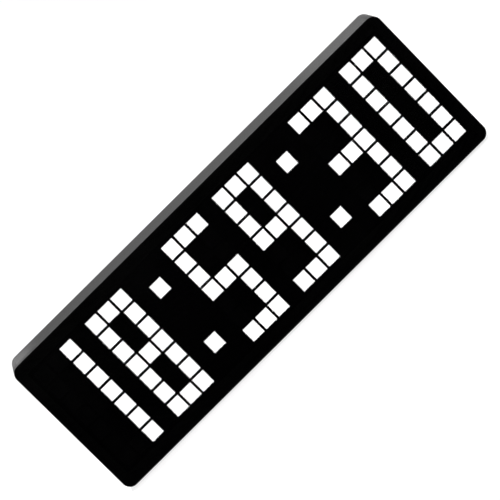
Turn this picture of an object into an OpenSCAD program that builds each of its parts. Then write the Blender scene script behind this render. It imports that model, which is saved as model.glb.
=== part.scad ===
// Desk countdown timer: a block-pixel display behind a smoked lens, set from the back.
// Millimetres. X runs right, Y back from the face and Z up.
// The origin is on the desk, under the middle of the body.

/* [Pixel field] */
// Spacing of the pixel columns
pitch_x = 6.4; // [6:0.1:8]
// Spacing of the pixel rows
pitch_z = 7; // [6.6:0.1:9]
// Dark web between neighbouring pixels
pixel_gap = 1; // [0.6:0.1:1.2]
// Face margin left and right of the pixel field
margin_x = 5.1; // [4.9:0.1:12]
// Face margin above and below the pixel field
margin_z = 6.05; // [5.6:0.05:12]

/* [Lens] */
// Thickness of the smoked lens
lens_t = 1.5; // [1.2:0.1:3]
// Rounding around the front of the lens
lens_edge_r = 0.3; // [0.1:0.05:0.5]
// Thickness of the adhesive frame behind the lens
tape_t = 0.3; // [0.3:0.05:0.5]
// Width of the housing lip around the adhesive frame
lip_w = 0.8; // [0.6:0.1:1.2]
// Clearance around the edges of the adhesive frame
tape_fit = 0.1; // [0.05:0.05:0.2]
// Thickness of the black mask film
film_t = 0.25; // [0.15:0.05:0.3]
// Border of the mask film around the pixel field
film_border = 1; // [0.8:0.1:1.2]

/* [Light wells] */
// Depth of the light-well block
reflector_d = 6.5; // [5.6:0.1:9]
// Wall of the light-well block outside the outer pixels
reflector_edge = 0.4; // [0.3:0.05:0.6]
// Width of the rim that hooks behind the front flange
rim_w = 1.6; // [1.2:0.1:1.8]
// Thickness of that rim
rim_t = 1.6; // [1.2:0.1:2]
// Thickness of a diffuser cell
cell_t = 1.2; // [0.8:0.1:1.6]
// Ledge that a diffuser cell sits on
cell_ledge = 0.4; // [0.3:0.05:0.6]
// Clearance around a diffuser cell
cell_fit = 0.05; // [0.02:0.01:0.1]
// Width of a light-emitting chip
led_w = 3.5; // [2.8:0.1:3.6]
// Height of a light-emitting chip
led_h = 2.8; // [2:0.1:3.5]
// Thickness of a light-emitting chip
led_t = 1.9; // [0.8:0.1:2]
// Clearance around a light-emitting chip
led_room = 0.2; // [0.15:0.05:0.3]
// Width of the cup in a light-emitting chip
led_cup = 2.4; // [1.6:0.1:2.6]
// Cut corner that marks a chip's polarity
led_mark = 0.6; // [0.3:0.1:0.8]

/* [Housing] */
// Radius of the four long corners
corner_r = 3.5; // [3:0.1:6]
// Wall thickness
wall = 2; // [1.6:0.1:2.3]
// Rounding of the rear edge
rear_edge_r = 1; // [0.4:0.1:1.4]
// Thickness of the front flange
flange_t = 1.6; // [1.2:0.1:2.2]
// Clearance between the flange opening and the light-well block
frame_fit = 0.15; // [0.1:0.05:0.3]
// Diameter of the long bosses for the cover screws
boss_d = 6; // [5:0.5:6.5]
// Diameter of the short posts for the display screws
post_d = 5; // [4.5:0.5:5.5]
// Distance between a boss and the post beside it
boss_spread = 7.2; // [6.6:0.1:7.6]
// Distance from the inner wall to a boss
boss_inset = 4.5; // [4:0.1:5]
// Thickness of the webs that tie the bosses to the wall
web_t = 1.4; // [1:0.1:1.8]
// Width of the ribs that the rear cover rests on
rest_w = 1.4; // [1:0.1:2]

/* [Rear cover] */
// Thickness of the rear cover
cover_t = 2; // [1.8:0.1:2.6]
// Gap around the rear cover
cover_gap = 0.15; // [0.1:0.05:0.25]
// Rounding of the cover's rear edge
cover_edge_r = 0.3; // [0.1:0.05:0.5]
// Extra thickness under the heads of the cover screws
pad_t = 1.2; // [0.8:0.1:1.6]
// Diameter of that thicker pad
pad_d = 7; // [6.6:0.1:7.4]
// Width of the end hooks
hook_w = 12; // [6:1:20]
// Thickness of the end hooks
hook_t = 1.2; // [0.8:0.1:1.3]
// Reach of the end hooks into the side walls
hook_reach = 0.9; // [0.6:0.1:1]
// Clearance around the end hooks
hook_fit = 0.1; // [0.05:0.05:0.2]
// Depth of the button pocket and of the switch pocket
pocket_d = 0.8; // [0.5:0.1:1]
// Thickness of the ribs inside the cover
rib_t = 1.2; // [0.8:0.1:1.6]
// Height of the ribs inside the cover
rib_h = 3; // [2:0.5:5]
// Diameter of the board standoffs
standoff_d = 5; // [4.5:0.5:6]

/* [Buttons] */
// Diameter of the round buttons
button_d = 7; // [6:0.5:8]
// Width of the start button
start_w = 11; // [9:0.5:12]
// Distance between buttons
button_pitch = 10.5; // [10.2:0.1:11.2]
// Distance of the button row below the top of the controller board
button_z = 10; // [9.5:0.5:13]
// Clearance between a button and its hole
button_fit = 0.2; // [0.15:0.05:0.3]
// Width of the flange that keeps a button in
button_flange = 0.7; // [0.5:0.1:0.9]
// Thickness of that flange
button_flange_t = 0.6; // [0.5:0.1:0.8]
// Depth of a button's top below the back
button_sink = 0.2; // [0.1:0.05:0.4]
// Play of a button between the cover and its switch
button_play = 0.05; // [0.02:0.01:0.1]
// Rounding of a button's edge
button_edge_r = 0.4; // [0.2:0.05:0.5]
// Radius of the dish in a button's top
dish_r = 16; // [12:1:30]
// Depth of the dish in a button's top
dish_d = 0.2; // [0.1:0.05:0.3]
// Free pocket floor around the button row
pocket_margin = 2; // [1.5:0.1:2.5]
// Travel of a button when it is pressed
press_travel = 0.3; // [0.2:0.05:0.5]

/* [Button switches] */
// Width of a switch body
tact_w = 6; // [5:0.5:6.5]
// Height of a switch body
tact_h = 3.5; // [3.2:0.1:4.5]
// Width of a switch terminal
terminal_w = 0.7; // [0.5:0.1:1]
// Reach of a switch terminal past the body
terminal_reach = 0.8; // [0.5:0.1:1]
// Thickness of a switch terminal
terminal_t = 0.2; // [0.15:0.05:0.3]
// Rise of the plunger above the switch body
tact_rise = 0.8; // [0.7:0.1:1.5]
// Diameter of the plunger
plunger_d = 3.5; // [2.5:0.1:3.6]
// Depth of the plunger inside the switch body
plunger_seat = 0.8; // [0.5:0.1:1.2]
// Clearance around and under the plunger
plunger_fit = 0.1; // [0.05:0.05:0.2]

/* [Power switch] */
// Width of the switch body
slide_w = 8.6; // [8:0.1:10]
// Height of the switch body across the board
slide_h = 3.7; // [3.4:0.1:4.5]
// Thickness of the switch body
slide_t = 3.6; // [3:0.1:4]
// Width of the lever
lever_w = 2; // [1.5:0.1:2.4]
// Height of the lever
lever_h = 1.5; // [1.2:0.1:1.8]
// Depth of the lever inside the switch body
lever_seat = 1; // [0.6:0.1:1.2]
// Depth of the lever's tip below the back
lever_sink = 0.3; // [0.1:0.05:0.5]
// Width of the grip groove across the lever's tip
groove_w = 0.6; // [0.4:0.1:0.8]
// Depth of that groove
groove_d = 0.3; // [0.2:0.05:0.4]
// Travel of the lever
slide_travel = 2; // [1.5:0.1:2.5]
// Clearance around the lever
lever_fit = 0.25; // [0.15:0.05:0.35]
// Sideways place of the switch on the back
slide_x = -1; // [-2:0.5:1]
// Width of the finger pocket around the lever
slide_pocket_w = 11; // [9:0.5:12]
// Height of the finger pocket around the lever
slide_pocket_h = 6; // [5:0.5:7]

/* [Charging socket] */
// Width of the socket shell
usb_w = 8.94; // [8.9:0.02:9]
// Height of the socket shell
usb_h = 3.26; // [3.2:0.02:3.3]
// Length of the socket from the board to its mouth
usb_l = 6.5; // [6.2:0.05:6.6]
// Wall of the socket shell
usb_wall = 0.3; // [0.25:0.05:0.35]
// Thickness of the insulator at the bottom of the socket
usb_floor = 1.2; // [0.8:0.1:2]
// Width of the contact tongue
tongue_w = 6.65; // [6.5:0.05:6.7]
// Thickness of the contact tongue
tongue_t = 0.7; // [0.6:0.05:0.75]
// Depth of the tongue's tip below the mouth
tongue_sink = 0.8; // [0.5:0.1:1]
// Clearance between the socket and the cover
usb_fit = 0.2; // [0.1:0.05:0.3]
// Distance of the socket from the right end of the controller board
usb_x = 13; // [12:0.5:14]
// Width of the plug pocket around the socket
usb_pocket_w = 13; // [12.6:0.2:14]
// Height of the plug pocket around the socket
usb_pocket_h = 7.2; // [6.8:0.2:8]
// Height of the socket and the power switch above the bottom of the controller board
lower_z = 9; // [8:0.5:10]

/* [Buzzer] */
// Diameter of the buzzer
buzzer_d = 12; // [11.5:0.5:12.5]
// Height of the buzzer
buzzer_h = 4.4; // [3.6:0.1:4.6]
// Distance of the buzzer from the left end of the controller board
buzzer_x = 12; // [11:0.5:13]
// Height of the buzzer above the bottom of the controller board
buzzer_z = 12; // [11:0.5:12.5]
// Diameter of a sound hole
grille_d = 1.2; // [0.8:0.1:1.5]
// Distance of the sound holes from the middle one
grille_r = 3.2; // [2.4:0.1:3.6]
// Number of sound holes around the middle one
grille_n = 6; // [4:1:8]
// Width of the foam ring around the sound holes
gasket_w = 1.4; // [1:0.1:1.6]
// Diameter of the buzzer's own sound hole
buzzer_hole_d = 2; // [1.5:0.1:3]
// Depth of the buzzer's own sound hole
buzzer_hole_l = 1; // [0.5:0.1:1.5]

/* [Boards] */
// Thickness of the display board
display_board_t = 1.6; // [1:0.1:2]
// Clearance between the display board and the housing
board_fit = 0.4; // [0.3:0.05:0.6]
// Space between the two boards, which sets the depth of the body
board_gap = 5.95; // [4:0.05:15]
// Width of the controller board
controller_w = 56; // [54:0.5:58]
// Height of the controller board
controller_h = 44; // [43:0.5:46]
// Thickness of the controller board
controller_t = 1.2; // [0.8:0.1:1.6]
// Corner radius of the controller board
controller_r = 2; // [1:0.5:3]
// Distance from a board corner to its screw
board_hole_inset = 3.5; // [3.2:0.1:3.8]

/* [Chips] */
// Length of a driver chip
driver_w = 18; // [14:0.5:20]
// Height of a driver chip without its leads
driver_h = 7.5; // [5:0.5:8]
// Thickness of a driver chip
driver_t = 2.3; // [1.5:0.1:2.4]
// Leads on each side of a driver chip
driver_leads = 14; // [8:1:16]
// Distance of a driver chip from the middle, in pixel columns
driver_col = 9.5; // [9:0.5:10]
// Width of the controller chip without its leads
mcu_w = 7; // [6:0.5:10]
// Thickness of the controller chip
mcu_t = 1.4; // [1:0.1:1.6]
// Leads on each side of the controller chip
mcu_leads = 8; // [6:1:12]
// Distance of the controller chip below the top of its board
mcu_z = 10; // [7:0.5:11]
// Reach of a chip lead
lead_reach = 1.2; // [0.8:0.1:1.6]
// Thickness of a chip lead
lead_t = 0.2; // [0.15:0.05:0.25]
// Share of the lead spacing that a lead fills
lead_fill = 0.4; // [0.3:0.05:0.5]
// Lift of a chip's body off its board
chip_lift = 0.1; // [0.05:0.05:0.2]
// Length of the crystal
crystal_w = 11; // [8:0.5:12]
// Width of the crystal
crystal_h = 4.6; // [3.6:0.1:5]
// Thickness of the crystal
crystal_t = 2.5; // [1.5:0.1:3]
// Height of the crystal above the bottom of its board
crystal_z = 10; // [6:0.5:11]

/* [Board link] */
// Pins along the board link
link_pins = 8; // [4:1:10]
// Spacing of the pins
link_pitch = 2.54; // [2:0.01:2.54]
// Thickness of a pin
link_pin = 0.64; // [0.5:0.02:0.66]
// Height of the pin strip's base
link_base = 2; // [1.6:0.1:2.4]
// Width of the pin strip across its two rows
link_h = 5; // [4.6:0.1:5.4]
// Clearance around a pin in the socket
link_fit = 0.1; // [0.05:0.05:0.15]
// Depth of a pin's tip above the display board
link_tip = 0.4; // [0.3:0.1:0.6]

/* [Battery] */
// Length of the cell
battery_w = 40; // [30:1:42]
// Height of the cell
battery_h = 30; // [20:1:36]
// Thickness of the cell
battery_t = 6; // [4:0.5:7]
// Thickness of the foam pad behind the cell
battery_pad_t = 0.5; // [0.3:0.1:1]
// Clearance around the cell in its cradle
battery_fit = 0.3; // [0.2:0.1:0.6]
// Rounding of the cell's long edges
battery_r = 1.5; // [0.5:0.1:1.9]
// Width of the protection strip at the end of the cell
strip_w = 3; // [2:0.5:5]
// Thickness of the protection strip
strip_t = 4; // [2:0.5:4]
// Diameter of a lead wire
wire_d = 1.3; // [0.8:0.1:1.6]
// Distance between the two lead wires
wire_pitch = 2; // [1.8:0.1:2.5]
// Sideways slack of the lead wires
wire_slack = 0.8; // [0:0.1:1]
// Length of the battery socket
jack_w = 7.6; // [6:0.2:8]
// Height of the battery socket
jack_h = 6.2; // [5.6:0.2:7]
// Thickness of the battery socket
jack_t = 4.4; // [4:0.1:4.6]
// Wall of the battery socket
jack_wall = 0.7; // [0.5:0.1:0.9]
// Distance of the socket from the end of the board
jack_inset = 0.5; // [0.2:0.1:1]
// Part of the plug that stands out of the socket
plug_out = 1.5; // [1:0.1:2.5]
// Clearance around the plug
plug_fit = 0.1; // [0.05:0.05:0.2]

/* [Screws] */
// Diameter of the cover and display screws
screw_d = 2.2; // [1.8:0.1:2.4]
// Diameter of their heads
screw_head_d = 4.2; // [3.6:0.1:4.4]
// Height of their heads
screw_head_h = 1.6; // [1.2:0.1:1.7]
// Depth of a cover screw's head below the back
screw_sink = 0.2; // [0:0.05:0.4]
// Reach of a cover screw below its head
cover_screw_l = 8; // [6:0.5:9]
// Reach of a display screw below its head
display_screw_l = 5; // [4:0.5:6]
// Diameter of the board screws
board_screw_d = 1.7; // [1.4:0.1:1.8]
// Diameter of their heads
board_head_d = 3.4; // [2.8:0.1:3.6]
// Height of their heads
board_head_h = 1.2; // [1:0.1:1.4]
// Reach of a board screw below its head
board_screw_l = 5; // [4:0.5:5.5]
// Clearance around a screw in its pilot hole
pilot_fit = 0.05; // [0.03:0.01:0.1]
// Clearance around a screw in its free hole
free_fit = 0.2; // [0.1:0.05:0.3]
// Space past the tip of a screw
tip_room = 0.5; // [0.3:0.1:0.8]

/* [Feet] */
// Diameter of a foot
foot_d = 8; // [6:0.5:8]
// Thickness of a foot
foot_t = 1.2; // [1:0.1:1.4]
// Rounding of a foot's lower edge
foot_edge_r = 0.3; // [0.1:0.05:0.4]
// Part of a foot that stands proud
foot_proud = 0.5; // [0.4:0.1:0.6]
// Clearance around a foot in its recess
foot_fit = 0.15; // [0.1:0.05:0.25]
// Distance from a side to the middle of a foot
foot_inset = 16; // [10:1:40]
// Distance from a foot to the front or the rear edge of the bottom
foot_edge = 1; // [0.8:0.1:1.5]

/* [Hidden] */
$fn = 96;
cut = 0.5;

// Layout of the display: six digits of three columns, in pairs with a colon column between
cols = 27;
rows = 7;
mid_col = (cols - 1) / 2;
mid_row = (rows - 1) / 2;
digits = 6;
digit_cols = 3;
pairs = 3;
pair_cols = 7;
pair_step = 10;
colon_first = 8;
colon_rows = [1, 5];
colon_span = 5;

grid_w = cols * pitch_x;
grid_h = rows * pitch_z;
face_w = grid_w + 2 * margin_x;
face_h = grid_h + 2 * margin_z;
face_z = foot_proud + face_h / 2;
window_w = pitch_x - pixel_gap;
window_h = pitch_z - pixel_gap;

// Depth stack, from the lens to the back
standoff = tact_h + tact_rise + button_flange_t + 2 * button_play;
front_stack = lens_t + film_t + reflector_d + display_board_t;
body_d = front_stack + board_gap + controller_t + standoff + cover_t;
front_y = -body_d / 2;
lens_back = front_y + lens_t;
flange_front = lens_back + tape_t;
flange_back = flange_front + flange_t;
film_back = lens_back + film_t;
reflector_back = film_back + reflector_d;
display_back = reflector_back + display_board_t;
back_y = body_d / 2;
cover_in = back_y - cover_t;
controller_rear = cover_in - standoff;
controller_front = controller_rear - controller_t;
pocket_floor = back_y - pocket_d;
plug_floor = controller_rear + usb_l;

// Inside of the housing
inner_w = face_w - 2 * wall;
inner_h = face_h - 2 * wall;
inner_r = corner_r - wall;
rim_edge = reflector_edge + rim_w;
rest_h = margin_z - wall - rim_edge - board_fit;
rest_cols = [-9.5, -2, 2, 9.5];

// One light well, from the film to the board
seat_w = window_w - 2 * cell_ledge;
seat_h = window_h - 2 * cell_ledge;
nest_w = led_w + 2 * led_room;
nest_h = led_h + 2 * led_room;
funnel_front = film_back + cell_t;
funnel_back = reflector_back - led_t - led_room;

// Bosses and posts stand in the notches above and below the colons
colon_x = (mid_col - colon_first) * pitch_x;
boss_x = colon_x + boss_spread / 2;
post_x = colon_x - boss_spread / 2;
boss_z = inner_h / 2 - boss_inset;
boss_end = cover_in - pad_t;
head_seat = back_y - screw_sink - screw_head_h;

button_names = ["hour", "minute", "second", "reset", "start"];
last_button = len(button_names) - 1;
button_row_w = last_button * button_pitch + start_w;
button_row = controller_h / 2 - button_z;
button_base = cover_in - button_play - button_flange_t;
button_top = back_y - button_sink;
plunger_top = controller_rear + tact_h + tact_rise;
plunger_foot = controller_rear + tact_h - plunger_seat;

board_end = controller_w / 2;
board_top = controller_h / 2;
board_hole_x = board_end - board_hole_inset;
board_hole_z = board_top - board_hole_inset;
slide_top = controller_rear + slide_t;
slot_w = lever_w + slide_travel + 2 * lever_fit;
slot_h = lever_h + 2 * lever_fit;
buzzer_top = controller_rear + buzzer_h;
gasket_d = buzzer_d - 2 * free_fit;
link_seam = controller_front - link_base;

// The battery lies in the bay between the left wall and the bosses
battery_x = -(inner_w / 2 + boss_x + boss_d / 2) / 2;
battery_y = cover_in - battery_pad_t;
battery_mid = battery_y - battery_t / 2;
battery_end = battery_x + battery_w / 2;
strip_edge = 2 * battery_r;
jack_x = jack_inset - board_end;
jack_mid = controller_rear + jack_t / 2;
jack_floor = jack_x + jack_w - jack_wall;
jack_bore_h = jack_h - 2 * jack_wall;
jack_bore_t = jack_t - 2 * jack_wall;
plug_end = jack_x - plug_out;
wire_steps = 12;
wire_sides = 8;
wire_nudge = 0.01;

foot_front = lens_back + foot_edge + foot_d / 2;
foot_rear = back_y - rear_edge_r - foot_edge - foot_d / 2;
foot_x = face_w / 2 - foot_inset;
foot_ends = [["left", -1], ["right", 1]];

cell_names = ["hour_tens", "hour_units", "minute_tens", "minute_units", "second_tens", "second_units"];

smoke = [0.02, 0.02, 0.02, 0.5];
black = [0.03, 0.03, 0.03];
grey = [0.12, 0.12, 0.12];
white = [0.9, 0.9, 0.88];
green = [0.05, 0.22, 0.1];
steel = [0.65, 0.66, 0.68];
silver = [0.75, 0.75, 0.74];
red = [0.55, 0.05, 0.04];

function digit_col(d) = d * (digit_cols + 1) + 2 * floor(d / 2);
function button_w(i) = i == last_button ? start_w : button_d;
function button_x(i) = i * button_pitch - button_row_w / 2 + button_w(i) / 2;

// Middle line of the lead wires, at t from the battery to the plug
function wire_x(t) = battery_end + (plug_end - battery_end) * t;
function wire_ease(t) = t * t * (3 - 2 * t);
function wire_y(t) = battery_mid + (jack_mid - battery_mid) * wire_ease(t) - wire_slack * sin(180 * t);
function wire_turn(t, dt) = atan2(wire_y(t + dt) - wire_y(t - dt), wire_x(t + dt) - wire_x(t - dt));
function wire_heading(t) = t <= 0 || t >= 1 ? 0 : wire_turn(t, wire_nudge);
function wire_ring(t) = [
    for (j = [0:wire_sides - 1])
        let (
            a = 360 * j / wire_sides,
            h = wire_heading(t),
            u = wire_d / 2 * cos(a)
        )
            [wire_x(t) - u * sin(h), wire_y(t) + u * cos(h), wire_d / 2 * sin(a)]
];

// Extrudes a drawing of the face, X right and Y up from its middle, between two depths
module slab(y0, y1) {
    translate([0, y1, face_z])
        rotate([90, 0, 0])
            linear_extrude(y1 - y0)
                children();
}

module rounded(w, h, r) {
    square([w - 2 * r, h], center = true);
    square([w, h - 2 * r], center = true);
    for (x = [-1, 1])
        for (z = [-1, 1])
            translate([x * (w / 2 - r), z * (h / 2 - r)])
                circle(r);
}

module pill(w, h) {
    if (w > h)
        square([w - h, h], center = true);
    for (x = w > h ? [-1, 1] : [0])
        translate([x * (w - h) / 2, 0])
            circle(d = h);
}

// Half of a section across a block: its outer edge is rounded by e at depth d
module edge_profile(half, d, e) {
    square([half - e, d]);
    square([half, d - e]);
    translate([half - e, d - e])
        circle(e);
}

module full_profile(half, d, e) {
    edge_profile(half, d, e);
    mirror([1, 0])
        edge_profile(half, d, e);
}

// A block with corners of radius r, from y = 0 back to an edge at y = d that is rounded by e
module edge_block(w, h, r, d, e) {
    if (h > 2 * r)
        linear_extrude(h - 2 * r, center = true)
            full_profile(w / 2, d, e);
    if (w > 2 * r)
        rotate([0, -90, 0])
            linear_extrude(w - 2 * r, center = true)
                full_profile(h / 2, d, e);
    for (x = w > 2 * r ? [-1, 1] : [0])
        for (z = h > 2 * r ? [-1, 1] : [0])
            translate([x * (w / 2 - r), 0, z * (h / 2 - r)])
                rotate([-90, 0, 0])
                    rotate_extrude()
                        edge_profile(r, d, e);
}

// Places on the face
module at_pixel(col, row) {
    translate([(col - mid_col) * pitch_x, (row - mid_row) * pitch_z])
        children();
}

module at_digit(d) {
    for (row = [0:rows - 1])
        for (col = [0:digit_cols - 1])
            if (col != 1 || row % mid_row == 0)
                at_pixel(digit_col(d) + col, row)
                    children();
}

module at_colon(k) {
    for (row = colon_rows)
        at_pixel(colon_first + k * pair_step, row)
            children();
}

module at_every_pixel() {
    for (d = [0:digits - 1])
        at_digit(d)
            children();
    for (k = [0:pairs - 2])
        at_colon(k)
            children();
}

module at_four(x, z) {
    for (side = [-1, 1])
        for (level = [-1, 1])
            translate([side * x, level * z])
                children();
}

module at_button(i) {
    translate([button_x(i), button_row])
        children();
}

module at_slide() {
    translate([slide_x, lower_z - board_top])
        children();
}

module at_usb() {
    translate([board_end - usb_x, lower_z - board_top])
        children();
}

module at_buzzer() {
    translate([buzzer_x - board_end, buzzer_z - board_top])
        children();
}

// Outline of the pixel field: the digit pairs, joined by a lower bar at the colons
module field_outline(grow) {
    for (p = [0:pairs - 1])
        translate([(p - 1) * pair_step * pitch_x, 0])
            square([pair_cols * pitch_x + 2 * grow, grid_h + 2 * grow], center = true);
    square([grid_w, colon_span * pitch_z + 2 * grow], center = true);
}

module front_lens() {
    color(smoke)
        translate([0, lens_back, face_z])
            mirror([0, 1, 0])
                edge_block(face_w, face_h, corner_r, lens_t, lens_edge_r);
}

module lens_tape() {
    edge = lip_w + tape_fit;
    border = film_border + tape_fit;
    color(black)
        slab(lens_back, flange_front)
            difference() {
                rounded(face_w - 2 * edge, face_h - 2 * edge, corner_r - edge);
                square([grid_w + 2 * border, grid_h + 2 * border], center = true);
            }
}

module mask_film() {
    color(black)
        slab(lens_back, film_back)
            difference() {
                square([grid_w + 2 * film_border, grid_h + 2 * film_border], center = true);
                at_every_pixel()
                    square([window_w, window_h], center = true);
            }
}

module funnel_section(w0, w1) {
    polygon([
        [-w0 / 2, funnel_front],
        [w0 / 2, funnel_front],
        [w1 / 2, funnel_back],
        [-w1 / 2, funnel_back]
    ]);
}

// A seat for the diffuser cell, a funnel and a nest for the light-emitting chip
module well() {
    translate([-window_w / 2, film_back - cut, -window_h / 2])
        cube([window_w, cell_t + cut, window_h]);
    intersection() {
        linear_extrude(window_h, center = true)
            funnel_section(seat_w, nest_w);
        rotate([0, -90, 0])
            linear_extrude(window_w, center = true)
                funnel_section(seat_h, nest_h);
    }
    translate([-nest_w / 2, funnel_back, -nest_h / 2])
        cube([nest_w, led_t + led_room + cut, nest_h]);
}

module reflector() {
    color(white)
        difference() {
            union() {
                slab(film_back, reflector_back)
                    field_outline(reflector_edge);
                slab(flange_back, flange_back + rim_t)
                    field_outline(rim_edge);
            }
            translate([0, 0, face_z])
                rotate([90, 0, 0])
                    at_every_pixel()
                        rotate([-90, 0, 0])
                            well();
        }
}

module cell() {
    square([window_w - 2 * cell_fit, window_h - 2 * cell_fit], center = true);
}

module digit_cells(d) {
    color(white)
        slab(film_back, funnel_front)
            at_digit(d)
                cell();
}

module colon_cells(k) {
    color(white)
        slab(film_back, funnel_front)
            at_colon(k)
                cell();
}

module boss_notch() {
    room = boss_d + 2 * board_fit;
    at_four(boss_x, boss_z)
        circle(d = room);
    at_four(boss_x, boss_z + boss_inset / 2)
        square([room, boss_inset], center = true);
}

module display_board() {
    color(green)
        slab(reflector_back, display_back)
            difference() {
                square([grid_w + 2 * rim_edge, grid_h + 2 * rim_edge], center = true);
                boss_notch();
                at_four(post_x, boss_z)
                    circle(d = screw_d + 2 * free_fit);
            }
}

module led_outline() {
    difference() {
        square([led_w, led_h], center = true);
        translate([led_w / 2, led_h / 2])
            rotate(45)
                square(led_mark, center = true);
    }
}

module display_leds() {
    color(white)
        difference() {
            slab(reflector_back - led_t, reflector_back)
                at_every_pixel()
                    led_outline();
            slab(reflector_back - led_t - cut, reflector_back - led_t / 2)
                at_every_pixel()
                    circle(d = led_cup, $fn = 8);
        }
}

// Bent leads along the upper edge of a chip, from its middle height down to the board at y = 0
module lead_row(n, w, h, t) {
    spacing = w / n;
    high = t / 2 + lead_t / 2;
    low = t / 2 - lead_t / 2;
    bend = lead_reach / 2;
    for (i = [0:n - 1])
        translate([(i - (n - 1) / 2) * spacing, 0, h / 2])
            rotate([0, -90, 0])
                linear_extrude(spacing * lead_fill, center = true)
                    polygon([
                        [-cut, low],
                        [-cut, high],
                        [bend, high],
                        [bend, lead_t],
                        [lead_reach, lead_t],
                        [lead_reach, 0],
                        [bend - lead_t, 0],
                        [bend - lead_t, low]
                    ]);
}

// A chip that rises to +Y from a board at y = 0
module chip(w, h, t, n, sides) {
    translate([-w / 2, chip_lift, -h / 2])
        cube([w, t - chip_lift, h]);
    for (turn = [0:sides - 1])
        rotate([0, turn * 360 / sides, 0])
            lead_row(n, w, h, t);
}

module driver_chips() {
    color(black)
        for (side = [-1, 1])
            translate([side * driver_col * pitch_x, display_back, face_z])
                chip(driver_w, driver_h, driver_t, driver_leads, 2);
}

module at_pins() {
    for (i = [0:link_pins - 1])
        for (row = [-1, 1])
            translate([(i - (link_pins - 1) / 2) * link_pitch, row * link_pitch / 2])
                children();
}

module link_socket() {
    color(black)
        difference() {
            slab(display_back, link_seam)
                square([link_pins * link_pitch, link_h], center = true);
            slab(display_back + link_tip, link_seam + cut)
                at_pins()
                    square(link_pin + 2 * link_fit, center = true);
        }
}

module link_header() {
    color(black) {
        slab(link_seam, controller_front)
            square([link_pins * link_pitch, link_h], center = true);
        slab(display_back + link_tip + link_fit, link_seam + cut)
            at_pins()
                square(link_pin, center = true);
    }
}

module display_screws() {
    color(steel) {
        slab(display_back, display_back + screw_head_h)
            at_four(post_x, boss_z)
                circle(d = screw_head_d);
        slab(display_back - display_screw_l, display_back)
            at_four(post_x, boss_z)
                circle(d = screw_d);
    }
}

module webs(x) {
    at_four(x, boss_z + boss_inset / 2)
        square([web_t, boss_inset + wall], center = true);
}

module housing_posts() {
    slab(flange_back - cut, boss_end) {
        at_four(boss_x, boss_z)
            circle(d = boss_d);
        webs(boss_x);
    }
    slab(flange_back - cut, reflector_back) {
        at_four(post_x, boss_z)
            circle(d = post_d);
        webs(post_x);
    }
}

module cover_rests() {
    slab(flange_back - cut, cover_in)
        for (col = rest_cols)
            for (level = [-1, 1])
                translate([col * pitch_x, level * (inner_h / 2 - rest_h / 2 + wall / 4)])
                    square([rest_w, rest_h + wall / 2], center = true);
}

module housing_shell() {
    difference() {
        translate([0, lens_back, face_z])
            edge_block(face_w, face_h, corner_r, back_y - lens_back, rear_edge_r);
        slab(flange_back, back_y + cut)
            rounded(inner_w, inner_h, inner_r);
    }
}

module housing_cuts() {
    hook_span = inner_w + 2 * (hook_reach + hook_fit);
    slab(lens_back - cut, flange_front)
        rounded(face_w - 2 * lip_w, face_h - 2 * lip_w, corner_r - lip_w);
    slab(flange_front - cut, flange_back + cut)
        field_outline(reflector_edge + frame_fit);
    slab(head_seat - cover_screw_l - tip_room, boss_end + cut)
        at_four(boss_x, boss_z)
            circle(d = screw_d + 2 * pilot_fit);
    slab(display_back - display_screw_l - tip_room, reflector_back + cut)
        at_four(post_x, boss_z)
            circle(d = screw_d + 2 * pilot_fit);
    slab(cover_in - hook_fit, cover_in + hook_t + hook_fit)
        square([hook_span, hook_w + 2 * hook_fit], center = true);
    for (end = foot_ends)
        for (y = [foot_front, foot_rear])
            translate([end[1] * foot_x, y, 0])
                cylinder(d = foot_d + 2 * foot_fit, h = foot_t);
}

module housing() {
    color(grey)
        difference() {
            union() {
                housing_shell();
                housing_posts();
                cover_rests();
            }
            housing_cuts();
        }
}

module foot(x, y) {
    color(black)
        translate([x, y, foot_t])
            mirror([0, 0, 1])
                rotate_extrude()
                    edge_profile(foot_d / 2, foot_t, foot_edge_r);
}

module battery_cradle() {
    outer_w = battery_w + 2 * (battery_fit + rib_t);
    outer_h = battery_h + 2 * (battery_fit + rib_t);
    translate([battery_x, 0])
        difference() {
            square([outer_w, outer_h], center = true);
            square([battery_w + 2 * battery_fit, battery_h + 2 * battery_fit], center = true);
            translate([outer_w / 2, 0])
                square([outer_w / 2, 3 * wire_pitch], center = true);
        }
}

module stiffeners() {
    translate([-battery_x, 0]) {
        square([battery_w, rib_t], center = true);
        square([rib_t, battery_h], center = true);
    }
}

module cover_plate() {
    plate_w = inner_w - 2 * cover_gap;
    plate_h = inner_h - 2 * cover_gap;
    translate([0, cover_in, face_z])
        edge_block(plate_w, plate_h, inner_r - cover_gap, cover_t, cover_edge_r);
    slab(cover_in, cover_in + hook_t)
        square([inner_w + 2 * hook_reach, hook_w], center = true);
    slab(boss_end, cover_in + cut)
        at_four(boss_x, boss_z)
            circle(d = pad_d);
    slab(controller_rear, cover_in + cut)
        at_four(board_hole_x, board_hole_z)
            circle(d = standoff_d);
    slab(cover_in - rib_h, cover_in + cut) {
        battery_cradle();
        stiffeners();
    }
}

module screw_holes() {
    slab(boss_end - cut, back_y)
        at_four(boss_x, boss_z)
            circle(d = screw_d + 2 * free_fit);
    slab(head_seat, back_y + cut)
        at_four(boss_x, boss_z)
            circle(d = screw_head_d + 2 * free_fit);
    slab(controller_rear - cut, controller_front + board_screw_l + tip_room)
        at_four(board_hole_x, board_hole_z)
            circle(d = board_screw_d + 2 * pilot_fit);
}

module button_holes() {
    slab(pocket_floor, back_y + cut)
        translate([0, button_row])
            pill(button_row_w + 2 * pocket_margin, button_d + 2 * pocket_margin);
    slab(cover_in - cut, pocket_floor + cut)
        for (i = [0:last_button])
            at_button(i)
                pill(button_w(i) + 2 * button_fit, button_d + 2 * button_fit);
}

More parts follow.
